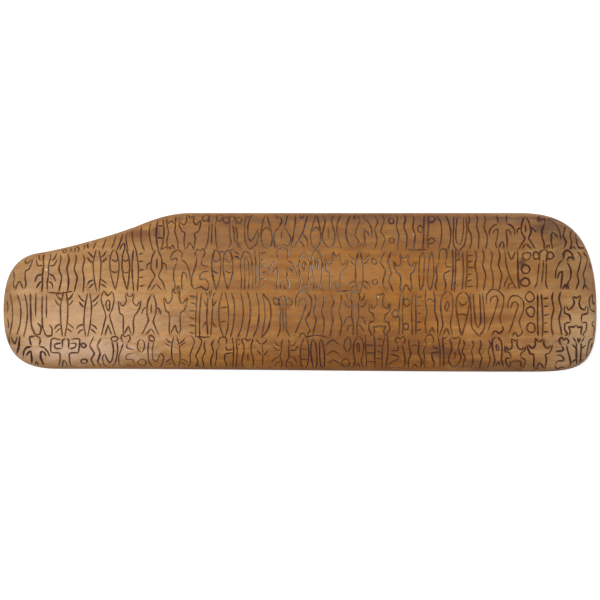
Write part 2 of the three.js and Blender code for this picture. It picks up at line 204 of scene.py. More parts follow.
class Outline:
    """A closed line of evenly spaced points that runs anticlockwise."""

    def __init__(self, points):
        self.points = points
        self.tree = KDTree(len(points))
        for i, (x, y) in enumerate(points):
            self.tree.insert((x, y, 0), i)
        self.tree.balance()
        self.run = np.roll(points, -1, 0) - points
        self.length2 = (self.run ** 2).sum(1)

    def nearest(self, points):
        """The nearest place on the line to each point, and the distance to it, positive inside."""
        index = np.array([self.tree.find((x, y, 0))[1] for x, y in points])
        best = np.full(len(points), np.inf)
        signed = np.zeros(len(points))
        place = np.zeros((len(points), 2))
        for side in (index - 1, index):
            offset = points - self.points[side]
            run = self.run[side]
            t = np.clip((offset * run).sum(1) / self.length2[side], 0, 1)
            gap = offset - run * t[:, None]
            away = np.hypot(*gap.T)
            left = run[:, 0] * offset[:, 1] - run[:, 1] * offset[:, 0] > 0
            nearer = away < best
            best = np.where(nearer, away, best)
            signed = np.where(nearer, np.where(left, away, -away), signed)
            place[nearer] = (self.points[side] + run * t[:, None])[nearer]
        return place, signed

    def depth_inside(self, points):
        return self.nearest(points)[1]


WIDEST = Outline(spline(ring_at(THICKNESS / 2), RING_STEP, closed=True))
FLAT = Outline(spline(ring_at(THICKNESS), RING_STEP, closed=True))


def crown(points):
    """How far up its rounding each point lies: 0 at the board's widest line and 1 on the flat."""
    out = np.maximum(WIDEST.depth_inside(points), 0)
    to_flat = np.maximum(-FLAT.depth_inside(points), 0)
    spread = to_flat / np.maximum(out + to_flat, TINY)
    return np.sqrt(np.clip(1 - spread ** 2, 0, 1))


# The signs: own drawings of the figures that such boards traditionally carry.
# Each is drawn about x = 0, from y = 0 at its foot to y = 10 at its head.

def line(*points):
    """A smooth stroke through the points."""
    return ("smooth", points)


def bent(*points):
    """A stroke of straight cuts that meet in corners."""
    return ("bent", points)


def both(*strokes):
    """The strokes and their mirror images."""
    return [*strokes, *((form, [(-x, y) for x, y in points]) for form, points in strokes)]


def ring(x, y, rx, ry, corners=8):
    turns = [math.tau * i / corners for i in range(corners + 1)]
    return line(*((x + rx * math.sin(a), y + ry * math.cos(a)) for a in turns))


def shifted(strokes, dx):
    return [(form, [(x + dx, y) for x, y in points]) for form, points in strokes]


def repeat(strokes, count, step):
    """Each stroke side by side, centred."""
    places = [(i - (count - 1) / 2) * step for i in range(count)]
    return [shifted([stroke], dx)[0] for stroke in strokes for dx in places]


def waves(count):
    wave = line((0.1, 10), (0.45, 8.3), (0, 6), (0.5, 3.8), (0.35, 2), (0, 0))
    return repeat([wave], count, 1.75)


def bows(count):
    bow = line((-0.3, 10), (0.4, 7.6), (0.6, 5), (0.3, 2.4), (-0.4, 0))
    return repeat([bow], count, 1.8)


def tooth_rod():
    rod = both(line((0.3, 10), (0.55, 6), (0.5, 3), (0.35, 0)))
    teeth = [line((0.62, y), (1.7, y + 0.25)) for y in (1.2, 3.1, 5, 6.9, 8.8)]
    return shifted(rod + teeth, -0.4)


def thorn_rod():
    rod = line((0.25, 10), (0.75, 7), (0.75, 3), (0.2, 0))
    upper = [line((0.7, 7.9), (1.5, 8.6), (2.2, 9.7)), line((0.85, 6.8), (1.6, 7.4), (2.1, 8.2))]
    lower = [line((0.75, 3), (1.7, 2.5), (2.3, 1.7)), line((0.6, 1.9), (1.4, 1.5), (1.9, 0.8))]
    return both(rod, *upper, *lower)


def barred_lens():
    side = line((0.25, 10), (0.85, 7.4), (1, 4.8), (0.75, 2.2), (0.15, 0))
    return both(side) + [line((-0.8, 6.5), (0.8, 6.6)), line((-0.85, 3.5), (0.8, 3.4))]


def chevron_leaf():
    side = line((0, 10), (0.95, 9.2), (1.3, 6.9), (0.9, 3.6), (0.05, 0))
    chevron = bent((-1.1, 7.9), (0, 6.9), (1.1, 7.9))
    return both(side) + [chevron, bent((-1.05, 4.6), (0, 5), (1.05, 4.6))]


def chevrons():
    return [bent((-1.7, y - 1.6), (0, y), (1.7, y - 1.6)) for y in (9.9, 6.7, 3.5)]


def rings():
    return [ring(0, y, 0.95, 1.05, 7) for y in (8.6, 5.4, 2.1)]


def turtle():
    notch = line((0.85, 10), (0.45, 9.2), (0, 8.8))
    arm = line((0.95, 9.6), (0.85, 7.9), (1.25, 6.9), (1.75, 6.9), (2.3, 8))
    flank = line((2.55, 8.2), (2.5, 6.6), (1.9, 5.2), (1.25, 4.7), (1.2, 3), (1.25, 1.4), (0.95, 0.1))
    crotch = line((0.85, 0.2), (0.5, 1.2), (0, 2.4))
    return both(notch, arm, flank, crotch)


def walker():
    head = line((0.75, 7), (1.1, 8.2), (0.9, 9.5), (0, 10))
    arm = line((0.8, 6.9), (1.9, 6.5), (2.6, 5.2), (2.8, 3.7))
    flank = line((2.1, 3.8), (1.7, 4.9), (1.05, 5.3), (0.95, 3.4), (1.25, 1.6), (1.1, 0.1))
    crotch = line((0.5, 0.3), (0.3, 1.5), (0, 2.2))
    return both(head, arm, flank, crotch)


def eared():
    ear = ring(1.45, 8.5, 0.65, 0.85, 7)
    head = line((0, 10), (0.65, 9.4), (0.8, 8), (0.6, 6.8))
    flank = line((0.6, 6.8), (0.75, 4), (0.8, 2), (1.4, 0.1))
    return both(ear, head, flank) + [line((0, 7.2), (0.05, 4.6), (0, 1.6))]


def gourd():
    side = line((0.95, 10), (1.2, 9.2), (0.75, 7.9), (0.8, 6), (1.25, 3.8), (1.15, 1.7), (0, 0.1))
    return both(side) + [line((-0.95, 10), (0, 9.3), (0.95, 10)), line((0, 5.6), (0.05, 2.6))]


def arch_fish():
    side = line((0, 10), (0.8, 9.1), (1.2, 7), (0.95, 4.6), (0.75, 2.6), (1.3, 0.2))
    tail = bent((0.7, 0.3), (0, 2))
    return both(side, tail) + [ring(0, 6.6, 0.32, 1.1)]


def tall_fork():
    back = line((-1.5, 10), (-1.2, 6.6), (-0.4, 3.4), (1, 0))
    notch = bent((-1, 9.7), (-0.2, 7.4), (0.6, 9.8))
    front = line((1.2, 10), (1.1, 6), (1.2, 3), (1.5, 0))
    feet = [line((-0.6, 3.6), (-1.4, 2.3), (-1.9, 0.8)), line((0, 1.9), (-0.7, 1.2), (-1.1, 0.2))]
    return [back, notch, front, *feet]


def hook():
    outer = line(
        (-1.7, 6.6), (-1.6, 8.6), (-0.6, 9.8), (0.8, 9.8), (1.8, 8.4), (1.7, 6.4), (0.7, 3.8), (1.2, 2.2)
    )
    inner = line((-1, 6.8), (-0.6, 8.2), (0.3, 8.6), (0.7, 7.6), (0.1, 5.6), (-0.9, 3.2), (-1.9, 0.8))
    foot = bent((-1.1, 0.1), (-0.2, 1.3), (0.6, 0.2), (1.4, 1.4), (1.2, 2.2))
    return [outer, inner, foot]


def fish_hook():
    eye = ring(-0.9, 9.2, 0.65, 0.75)
    outer = line((-1.45, 8.5), (-1.65, 5.6), (-1.4, 2), (-0.2, 0.1), (1.1, 1.2), (1.5, 3.6), (1.1, 4.9))
    inner = line((-0.5, 8.5), (-0.85, 5.8), (-0.6, 3), (0, 2), (0.5, 3), (1.1, 4.9))
    return [eye, outer, inner]


def nested_cup():
    outer = line((1.25, 10), (1.45, 6), (1.25, 2), (0, 0))
    inner = line((0.6, 9.8), (0.75, 6.2), (0.6, 3), (0, 1.7))
    return both(outer, inner)


def horned_arch():
    outer = line((-1.2, 0), (-0.9, 3), (-1.1, 7.8), (-0.3, 9.8), (0.8, 9.4), (1.3, 7.4), (1.3, 3), (1.1, 0))
    inner = line((-0.4, 0), (-0.3, 4), (-0.35, 7), (0.1, 8.4), (0.55, 7), (0.55, 3.6), (0.35, 0))
    horns = [line((-1, 8.9), (-1.6, 9.3), (-2.3, 10)), line((-1.1, 7.8), (-1.8, 8.3), (-2.4, 8.6))]
    return [outer, inner, *horns]


def sitter():
    head = line((-0.5, 7.8), (-1, 8.9), (-0.5, 10), (0, 9.3), (0.7, 10), (1.1, 9), (0.5, 7.6))
    back = line((-0.5, 7.8), (-0.7, 6), (-1.3, 3.4), (-1.4, 1.4), (-0.8, 0.2))
    seat = line((-0.8, 0.2), (0.4, 0.7), (1.6, 0.1), (2.2, 1.2))
    front = bent((0.5, 7.6), (0.3, 5.9), (2, 5.7))
    lap = line((2, 4.6), (0.8, 4.4), (0.1, 3.6), (0.3, 2.8), (1.4, 2.5), (2.2, 1.2))
    return [head, back, seat, front, lap]


def swan_lines():
    neck = line((-0.3, 10), (0.7, 8.4), (0.2, 6), (-0.4, 4), (0, 2.2), (-0.7, 0.1))
    foot = line((0.75, 0.2), (1.6, 1.2), (2.2, 0.1))
    return shifted([neck, *shifted([neck], 1.45), foot], -0.8)


def long_drop():
    side = line((0, 10), (0.65, 7.4), (1.1, 3.4), (0.75, 0.9), (0, 0))
    return both(side) + [line((-1, 4.6), (0, 6), (1, 4.6))]


def lens_and_ring():
    side = line((0, 10), (0.7, 8.6), (0.65, 6.6), (0, 5.2))
    return both(side) + [ring(0.1, 2, 0.95, 1.15, 7)]


def square_arms():
    head = line((0, 10), (0.6, 9.2), (0.65, 7.6), (0.55, 6.6))
    outer = bent((0.9, 9.6), (2.9, 9.7), (2.8, 5.5), (1.1, 5.1), (0.8, 3.4), (1.3, 0.1))
    inner = bent((0.9, 8.4), (2.1, 8.3), (2.1, 6.7), (0.55, 6.6))
    crotch = line((0.45, 0.1), (0.5, 1.8), (0, 2.8))
    return both(head, outer, inner, crotch)


def bird():
    head = line((-2.1, 7.5), (-1.5, 9.2), (-0.4, 10), (0.5, 9.3), (0.4, 7.7))
    beak = line((-2.1, 7.5), (-1.3, 8), (-0.7, 8.1), (-0.5, 7))
    breast = line((-0.5, 7), (-1.2, 5.2), (-1.3, 3.2), (-0.7, 1.6), (-0.9, 0.1))
    wing = line((0.4, 7.7), (1.5, 6.9), (2.3, 5), (2.5, 2.6))
    under = line((1.9, 2.8), (1.5, 4.2), (0.8, 4.6), (0.7, 2.6), (1, 0.1))
    return [head, beak, breast, wing, under, bent((-0.4, 0.2), (0, 1.6), (0.5, 0.2))]


def zigzags():
    zigzag = bent((0.5, 10), (-0.5, 7.4), (0.4, 4.9), (-0.4, 2.5), (0.5, 0))
    loops = [ring(-1.9, y, 0.62, 0.75, 7) for y in (7.5, 2.4)]
    return shifted([zigzag, *shifted([zigzag], 1.5), *loops], -0.1)


def anchor():
    stem = [line((0, 8.4), (0.05, 5.6)), line((0.05, 5.2), (0, 1.2))]
    arms = [line((0, y), (0.5, y + 0.5), (1.2, y + 1.6)) for y in (8.2, 5)]
    foot = line((0, 0.9), (0.7, 0.5), (1.5, 1.6))
    return both(*arms, foot) + stem


def hourglass():
    side = line((0.75, 10), (1.3, 8.2), (0.9, 6), (0.35, 4.6), (0.8, 2.4), (1.4, 0.1))
    leg = line((0.6, 0.2), (0.35, 1.6), (0, 2.6))
    return both(side, leg) + [line((-0.75, 10), (0, 9), (0.75, 10)), ring(0, 6.8, 0.38, 1.1)]


def crescent():
    outer = line((0.8, 10), (-0.6, 8), (-1.1, 5), (-0.7, 2.2), (0.8, 0))
    inner = line((0.8, 10), (0.2, 7.6), (0, 5), (0.2, 2.6), (0.8, 0))
    return [outer, inner]


def ladder():
    side = line((0.95, 10), (1.05, 7), (0.9, 3), (1, 0))
    return both(side) + [line((-0.95, y), (0.95, y + 0.2)) for y in (2, 4.4, 6.9)]


def bowed_fish():
    side = line((0.85, 10), (1.05, 7.6), (0.85, 5.2), (1.3, 2.8), (1.2, 0.2))
    return both(side, bent((0.65, 0.3), (0, 2))) + [line((-1, 7.2), (0, 8), (1, 7.2))]


def curled_pole():
    pole = line((-0.7, 10), (-0.9, 6), (-0.8, 2.4), (-0.1, 0.3), (0.9, 0.5), (1.1, 2.1), (0.4, 3))
    return [pole, line((0.3, 9.9), (0.15, 7), (0.1, 4.4))]


def seed_pair():
    return repeat([ring(0, 5, 0.62, 4.6)], 2, 2)


def dancer():
    head = line((-0.7, 9.9), (0, 9.2), (0.7, 9.9))
    side = line((0.8, 9.8), (0.55, 8), (0.9, 6.8), (1.7, 6.4), (2.1, 7.6))
    arm = line((2.4, 7.6), (2.3, 5.8), (1.3, 5.2), (1.1, 3.6))
    knee = line((1.1, 3.6), (2.1, 3.3), (2.3, 1.8), (1.6, 0.6), (2.2, 0.1))
    shin = line((1.3, 0.3), (1.1, 1.4), (1.3, 2.3), (0.4, 2.4), (0, 3))
    return both(side, arm, knee, shin) + [head]


def claw_plant():
    stem = both(line((0.45, 8.6), (0.5, 4), (0.3, 0)))
    tips = both(line((0.45, 8.6), (1.2, 9.8)), line((0, 8.4), (0.35, 10)), line((0.5, 6.3), (1.5, 7.7)))
    roots = both(line((0.5, 3.4), (1.5, 2)))
    return stem + tips + roots


def raised_arms():
    head = bent((0, 8.9), (0.75, 10))
    arm = line((0.75, 10), (0.6, 8.2), (1, 7.1), (1.9, 7.4), (2.2, 9.2))
    hand = line((2.2, 9.2), (2.9, 8), (2.5, 6), (1.2, 5.3), (1, 3.9))
    leg = bent((1, 3.9), (2.4, 3.2), (1.7, 1.8), (2.3, 0.1))
    inner = bent((1.4, 0.2), (0.9, 1.7), (1.2, 2.5), (0, 3))
    return both(head, arm, hand, leg, inner)


def pods():
    side = line((0.1, 10), (0.75, 8.6), (1.05, 6.2), (0.8, 3.4), (0, 0.1))
    brow = bent((-0.85, 7.6), (-0.1, 6.7), (0.85, 7.8))
    chin = bent((-0.8, 4.7), (0, 4.2), (0.85, 4.9))
    return repeat(both(side) + [brow, chin], 2, 2.7)


def crab():
    shell = line((0.5, 10), (0.9, 8.4), (0.7, 6.4), (0.85, 4.2), (0.5, 2.4), (0.6, 0))
    claw = line((0.9, 7.6), (1.7, 7.9), (2.2, 9.4))
    elbow = line((0.8, 6.3), (1.9, 6.4), (2.7, 7.8))
    knee = line((0.8, 4.3), (1.9, 3.9), (2.6, 2.3))
    heel = line((0.6, 2.6), (1.5, 2.2), (2, 0.8))
    return both(shell, claw, elbow, knee, heel)


def holder():
    head = line((-0.9, 7.2), (-1.3, 8.4), (-0.7, 9.8), (0.2, 9.9), (0.7, 8.6), (0.3, 7.2))
    back = line((-0.9, 7.2), (-1.7, 5.6), (-1.5, 3.4), (-1.9, 1.4), (-1.3, 0.1))
    arm = bent((0.3, 7.2), (0.6, 5.9), (1.9, 6.1))
    elbow = bent((1.9, 5.1), (0.2, 4.7), (0, 3.1), (0.7, 1.7), (0.2, 0.1))
    staff = [line((1.9, 10), (2.1, 6), (1.9, 0)), line((2.7, 9.9), (2.8, 5), (2.6, 0.1))]
    ticks = [line((2.8, y), (3.6, y + 0.7)) for y in (8.6, 7.2, 1.2)]
    return [head, back, arm, elbow, *staff, *ticks]


def loop_staff():
    rod = both(line((0.35, 10), (0.45, 6), (0.4, 2.6), (0.55, 0)))
    loops = [ring(1.3, 7.9, 0.72, 0.85, 7), ring(-1.3, 5.2, 0.7, 0.85, 7), ring(1.25, 2.2, 0.7, 0.85, 7)]
    return rod + loops


def split_tail():
    side = line((0.15, 10), (0.95, 8), (1.1, 5.4), (0.45, 3.6), (1.2, 2), (2, 0.2))
    fin = line((1, 6.9), (1.9, 6.2), (2.2, 5))
    return both(side, fin, bent((1.2, 0.3), (0, 1.9))) + [line((0, 7.8), (0.05, 5.2))]


def comb():
    spine = [line((-1.1, 10), (-0.9, 5), (-1.1, 0)), line((-0.2, 10), (0, 5), (-0.2, 0))]
    teeth = [line((-0.1, y), (1.3, y + 0.35)) for y in (0.9, 2.5, 4.1, 5.7, 7.3, 8.9)]
    return spine + teeth


def long_neck():
    head = line((1.9, 8.2), (1.1, 9.2), (0.2, 10), (-0.9, 9.2), (-0.9, 7.4), (-0.4, 5.4))
    throat = line((1.9, 8.2), (0.8, 8.1), (0.2, 7.4), (0.7, 5.6))
    back = line((-0.4, 5.4), (-1.6, 4), (-2, 2.2), (-1.4, 0.4), (-0.3, 1.3))
    chest = line((0.7, 5.6), (1.7, 4.2), (1.9, 2.4), (1.3, 0.2), (0.4, 1.1))
    return [head, throat, back, chest, line((0.1, 4.4), (0, 2.4))]


# Each sign, and how many of it there are in a bag
SIGNS = {
    (lambda: waves(4)): 4, (lambda: waves(3)): 3, (lambda: waves(2)): 2, (lambda: bows(4)): 2,
    (lambda: bows(3)): 3, (lambda: bows(2)): 2, tooth_rod: 4, thorn_rod: 5, barred_lens: 3,
    chevron_leaf: 2, chevrons: 1, rings: 2, turtle: 7, walker: 3, eared: 4, gourd: 4,
    arch_fish: 5, tall_fork: 3, hook: 3, fish_hook: 3, nested_cup: 3, horned_arch: 3,
    sitter: 5, swan_lines: 3, long_drop: 2, lens_and_ring: 2, square_arms: 2, bird: 4,
    zigzags: 3, anchor: 2, hourglass: 3, crescent: 1, ladder: 1, bowed_fish: 3,
    curled_pole: 3, seed_pair: 2, dancer: 3, claw_plant: 2, raised_arms: 4, pods: 2,
    crab: 4, holder: 4, loop_staff: 2, split_tail: 3, comb: 3, long_neck: 3,
}

# Strokes of the front where no whole sign has room: by the notch, and on the narrow end's rim
EDGE_STROKES = (
    ((-178.9, 30.2), (-179.3, 31.9), (-177.6, 32.5), (-176.3, 31.3), (-177, 29.9), (-178.9, 30.2)),
    ((-173.9, 29.9), (-173, 32.2), (-173.4, 34)),
    ((-169.8, 30), (-169.9, 33.2), (-168.2, 34.8), (-166.9, 33.2), (-167.2, 30.2)),
    ((-163.8, 31), (-162.6, 34.2), (-162.9, 36.6)),
    ((-221.7, -5.6), (-220.6, -10.8), (-221.2, -15.8)),
    ((-221.2, -19.2), (-220.2, -23.8), (-220.6, -28)),
)


# The rows

class Dice:
    """A repeatable run of numbers, the same as the solid's."""

    def __init__(self, seed):
        self.state = seed

    def between(self, low, high):
        self.state = (self.state * 1664525 + 1013904223) % 2 ** 32
        return low + (high - low) * (self.state / 2 ** 32)

    def mixed_signs(self):
        bag = [draw for draw, weight in SIGNS.items() for _ in range(weight)]
        for i in range(len(bag) - 1, 0, -1):
            j = int(self.between(0, i + 1))
            bag[i], bag[j] = bag[j], bag[i]
        return bag


def row_bands():
    """Each row's foot and height, from the top row down."""
    top = BREADTH / 2 + ROW_OVERHANG
    return [(top - sum(ROW_HEIGHTS[:i + 1]), height) for i, height in enumerate(ROW_HEIGHTS)]


def trembled(points):
    """The points, moved a little as a hand strays."""
    a, b, c, d = TREMBLE_LENGTHS
    x, y = points.T
    return np.stack([x + TREMBLE * np.sin(x / a + y / b), y + TREMBLE * np.sin(x / c - y / d)], 1)


def corner_points(points, reach=0.3, most=0.35):
    """A bent stroke's points, with each corner cut a little so that the knife can turn."""
    points = np.asarray(points, float)
    out = [points[0]]
    for a, b, c in zip(points, points[1:], points[2:]):
        for end in (a, c):
            run = end - b
            out.append(b + run * min(most, reach / np.hypot(*run)))
    return np.array([*out, points[-1]])


def stroke_lines(seed, flip):
    """Every stroke on one face, as lines in mm. flip turns the rows for the back."""
    dice = Dice(seed)
    rng = random.Random(seed)
    bag = []
    lines = []
    for foot, pitch in row_bands():
        unit = pitch * SIGN_SHARE / GRID
        sway = dice.between(0, math.tau)
        x = -LENGTH / 2 + dice.between(*ROW_STARTS)
        joint = None
        while x < LENGTH / 2:
            if not bag:
                bag = dice.mixed_signs()
            level = foot + ROW_SWAY * math.sin(x / SWAY_LENGTH + sway)
            before = x
            x = place_sign(lines, dice, bag.pop()(), x, level, unit)
            middle = ((before + x) / 2, level + rng.uniform(*JOIN_LEVELS))
            if joint:
                dip = rng.uniform(*JOIN_DIPS)
                halfway = ((joint[0] + middle[0]) / 2, (joint[1] + middle[1]) / 2 + dip)
                lines.append(np.array([joint, halfway, middle]))
            joint = middle if not joint and rng.random() < JOINED_SHARE else None
    if flip:
        return [points * (-1, 1) for points in lines]
    return lines + [np.array(points) for points in EDGE_STROKES]


def place_sign(lines, dice, strokes, x, foot, unit):
    """Adds one sign with its left edge at x and returns where the next one starts."""
    facing = -1 if dice.between(0, 1) < TURNED_SHARE else 1
    wide = UNIT_WIDTH * dice.between(*WIDTHS)
    tall = unit * dice.between(*HEIGHTS)
    lean = dice.between(*LEANS)
    level = foot + dice.between(*LIFTS)
    across = [px for _, points in strokes for px, _ in points]
    half = (max(across) - min(across)) / 2 * wide
    middle = (max(across) + min(across)) / 2
    for form, points in strokes:
        drawn = corner_points(points) if form == "bent" else np.asarray(points, float)
        placed = np.empty_like(drawn)
        placed[:, 0] = x + half + ((drawn[:, 0] - middle) * facing + lean * (drawn[:, 1] - GRID / 2)) * wide
        placed[:, 1] = level + drawn[:, 1] * tall
        lines.append(trembled(placed))
    return x + 2 * half + GAP_UNITS * unit * dice.between(*GAPS)


def thinned(points, slack=0.035, longest=1.9):
    """The line with the points that it needs, none further from its neighbour than longest."""
    keep = [0]
    start = 0
    while start < len(points) - 1:
        end = start + 1
        while end + 1 < len(points):
            trial = points[start:end + 2]
            run = trial[-1] - trial[0]
            length = np.hypot(*run)
            off = np.abs(run[0] * (trial[:, 1] - trial[0, 1]) - run[1] * (trial[:, 0] - trial[0, 0]))
            if length > longest or off.max() > slack * max(length, 1e-6):
                break
            end += 1
        keep.append(end)
        start = end
    return points[keep]


def bold_at(x, y):
    """How bold the cuts are about a place, as a share of their size."""
    at_end = np.clip((abs(x) - ENDS_FROM) / ENDS_OVER, 0, 1)
    low = np.clip((LOW_ROW_FROM - y) / LOW_ROW_OVER, 0, 1)
    return BOLD_MIDDLE + BOLD_ENDS * at_end + low * (BOLD_LOW_ENDS * at_end + BOLD_LOW_ROW)


class Cut:
    """One incised stroke: its middle line, and its half width and depth at each point."""

    def __init__(self, points, rng):
        self.points = points
        steps = np.hypot(*np.diff(points, axis=0).T)
        along = np.concatenate([[0], np.cumsum(steps)])
        from_end = np.minimum(along, along[-1] - along)
        closed = np.hypot(*(points[0] - points[-1])) < CLOSED_GAP
        taper = min(CUT_TAPER, TAPER_SHARE * along[-1])
        share = np.ones(len(points)) if closed else np.clip(from_end / taper, 0, 1)
        ease = np.sin(share * math.pi / 2)
        boldness = rng.uniform(*BOLDNESS) * bold_at(*points.mean(0))
        swell = 1
        for size, length in SWELLS:
            swell = swell + size * np.sin(along / length + rng.uniform(*SWELL_PHASES))
        self.half = CUT_HALF_WIDTH * boldness * swell * (END_WIDTH + (1 - END_WIDTH) * ease)
        self.deep = CUT_DEPTH * boldness * swell * (END_DEPTH + (1 - END_DEPTH) * ease)
        tangent = np.gradient(points, axis=0)
        if closed:
            tangent[0] = tangent[-1] = points[1] - points[-2]
        tangent /= np.maximum(np.hypot(*tangent.T), TINY)[:, None]
        self.normal = np.stack([-tangent[:, 1], tangent[:, 0]], 1)

    def row(self, share):
        return self.points + self.normal * (self.half * share)[:, None]

    def near(self, points, reach):
        """Which points may lie within reach of the stroke."""
        low = self.points.min(0) - reach
        high = self.points.max(0) + reach
        return np.flatnonzero(((points > low) & (points < high)).all(1))

    def across(self, points):
        """Each point's distance from each stretch of the stroke, and its place along it."""
        start = self.points[:-1]
        run = np.diff(self.points, axis=0)
        offset = points[:, None] - start
        t = np.clip((offset * run).sum(2) / np.maximum((run ** 2).sum(1), 1e-12), 0, 1)
        return np.sqrt(((offset - t[..., None] * run) ** 2).sum(2)), t

    def depth_at(self, points):
        away, t = self.across(points)
        half = self.half[:-1] + t * np.diff(self.half)
        deep = self.deep[:-1] + t * np.diff(self.deep)
        return (deep * np.clip(1 - (away / half) ** CUT_SECTION, 0, 1)).max(1)


def make_cuts(seed, flip):
    """The cuts on one face, kept a little inside the board's widest line."""
    rng = random.Random(seed + CUT_SEED)
    lines = stroke_lines(seed, flip)
    strokes = [spline(path, STROKE_STEP, stiff=STROKE_STIFFNESS) for path in lines]
    safe = WIDEST.depth_inside(np.vstack(strokes)) > EDGE_MARGIN
    cuts = []
    first = 0
    for stroke in strokes:
        kept = np.concatenate([[False], safe[first:first + len(stroke)], [False]])
        first += len(stroke)
        turns = np.flatnonzero(kept[1:] != kept[:-1])
        for start, end in zip(turns[::2], turns[1::2]):
            if end - start > SHORTEST_CUT:
                cuts.append(Cut(thinned(stroke[start:end]), rng))
    return cuts


# The faces

def undulation(points, seed):
    """The slight unevenness that the smoothing tools left, in mm."""
    rng = random.Random(seed)
    total = np.zeros(len(points))
    for _ in range(RIPPLES):
        pitch = rng.uniform(*RIPPLE_LENGTHS)
        turn = rng.uniform(0, math.pi)
        phase = rng.uniform(0, math.tau)
        along = points[:, 0] * math.cos(turn) * RIPPLE_STRETCH + points[:, 1] * math.sin(turn)
        total += np.sin(along * math.tau / pitch + phase)
    return total * RIPPLE_HEIGHT


def face_surface(points, seed):
    """Height above the mid plane, outward normal and crown at each point, without the cuts."""
    def height(at):
        up = crown(at)
        return THICKNESS / 2 * up + undulation(at, seed) * up ** 2, up
    nudge = 0.25
    level_from = 0.9999
    here, up = height(points)
    normal = np.zeros((len(points), 3))
    normal[:, 2] = 1
    rim = up < level_from
    for axis in (0, 1):
        step = np.zeros(2)
        step[axis] = nudge
        ahead, _ = height(points[rim] + step)
        behind, _ = height(points[rim] - step)
        normal[rim, axis] = -(ahead - behind) / (2 * nudge)
    normal /= np.linalg.norm(normal, axis=1)[:, None]
    return here, normal, up


def rim_points():
    """Rows of points over the rounding, closer together towards the widest line."""
    outer = WIDEST.points
    inner, _ = FLAT.nearest(outer)
    return np.vstack([(inner + (outer - inner) * spread)[::stride] for spread, stride in ROUNDING_ROWS])


def field_points():
    """A staggered grid over the flat."""
    rng = random.Random(FIELD_SEED)
    out = []
    for j in range(int(BREADTH / FIELD_RISE) + 1):
        for i in range(int(LENGTH / FIELD_STEP) + 1):
            x = -LENGTH / 2 + (i + 0.5 * (j % 2)) * FIELD_STEP + rng.uniform(*FIELD_STRAY)
            y = -BREADTH / 2 + j * FIELD_RISE + rng.uniform(*FIELD_STRAY)
            out.append((x, y))
    points = np.array(out)
    return points[FLAT.depth_inside(points) > 0]


def cut_depths(cuts, points):
    """The deepest cut under each point."""
    depth = np.zeros(len(points))
    for cut in cuts:
        near = cut.near(points, cut.half.max())
        if len(near):
            depth[near] = np.maximum(depth[near], cut.depth_at(points[near]))
    return depth


def clear_of(cuts, points, gap):
    """The points that lie more than gap outside every cut."""
    clear = np.ones(len(points), bool)
    for cut in cuts:
        near = cut.near(points, cut.half.max() + gap)
        if len(near):
            clear[near] &= cut.across(points[near])[0].min(1) > cut.half.max() + gap
    return points[clear]


def face_mesh(seed, flip, shares):
    """One face: points, triangles, depths, places on the widest line or -1, and flat pattern."""
    cuts = make_cuts(seed, flip)
    border = WIDEST.points
    loose = clear_of(cuts, np.vstack([rim_points(), field_points()]), CUT_CLEARANCE)
    blocks = [border, loose]
    edges = []
    count = len(border) + len(loose)
    for cut in cuts:
        for share in shares:
            row = cut.row(share)
            edges += [(count + i, count + i + 1) for i in range(len(row) - 1)]
            blocks.append(row)
            count += len(row)
    corners = [Vector(point) for point in np.vstack(blocks)]
    around = [list(range(len(border)))]
    inside_only = 1
    made, _, triangles, origins, _, _ = delaunay_2d_cdt(corners, edges, around, inside_only, MERGE_GAP, True)
    flat = np.array([tuple(v) for v in made])
    triangles = np.array([t for t in triangles if len(t) == 3])
    on_border = np.full(len(flat), -1)
    for i, sources in enumerate(origins):
        if sources and min(sources) < len(border):
            on_border[i] = min(sources)
    # A triangle that bridges the hollow of the notch lies outside the board.
    bridging = (on_border[triangles] >= 0).all(1)
    middle = flat[triangles].mean(1)
    outside = WIDEST.depth_inside(middle) < 0
    triangles = triangles[~(bridging & outside)]
    height, normal, up = face_surface(flat, seed)
    depth = cut_depths(cuts, flat) * np.clip((up - FADE_FROM) / FADE_OVER, 0, 1)
    on_edge = on_border >= 0
    depth[on_edge] = height[on_edge] = 0
    solid = np.column_stack([flat, height]) - normal * depth[:, None]
    return solid, triangles, depth, on_border, unrolled(flat, up)


def unrolled(points, up):
    """Where each point goes on a flat pattern, with the rounding laid out at about its true width."""
    edge, inwards = FLAT.nearest(points)
    away = np.maximum(-inwards, 0)
    drop = THICKNESS / 2 * (1 - up)
    stretch = np.sqrt(away ** 2 + drop ** 2) / np.maximum(away, TINY)
    on_slope = away > 1e-6
    return np.where(on_slope[:, None], edge + (points - edge) * stretch[:, None], points)


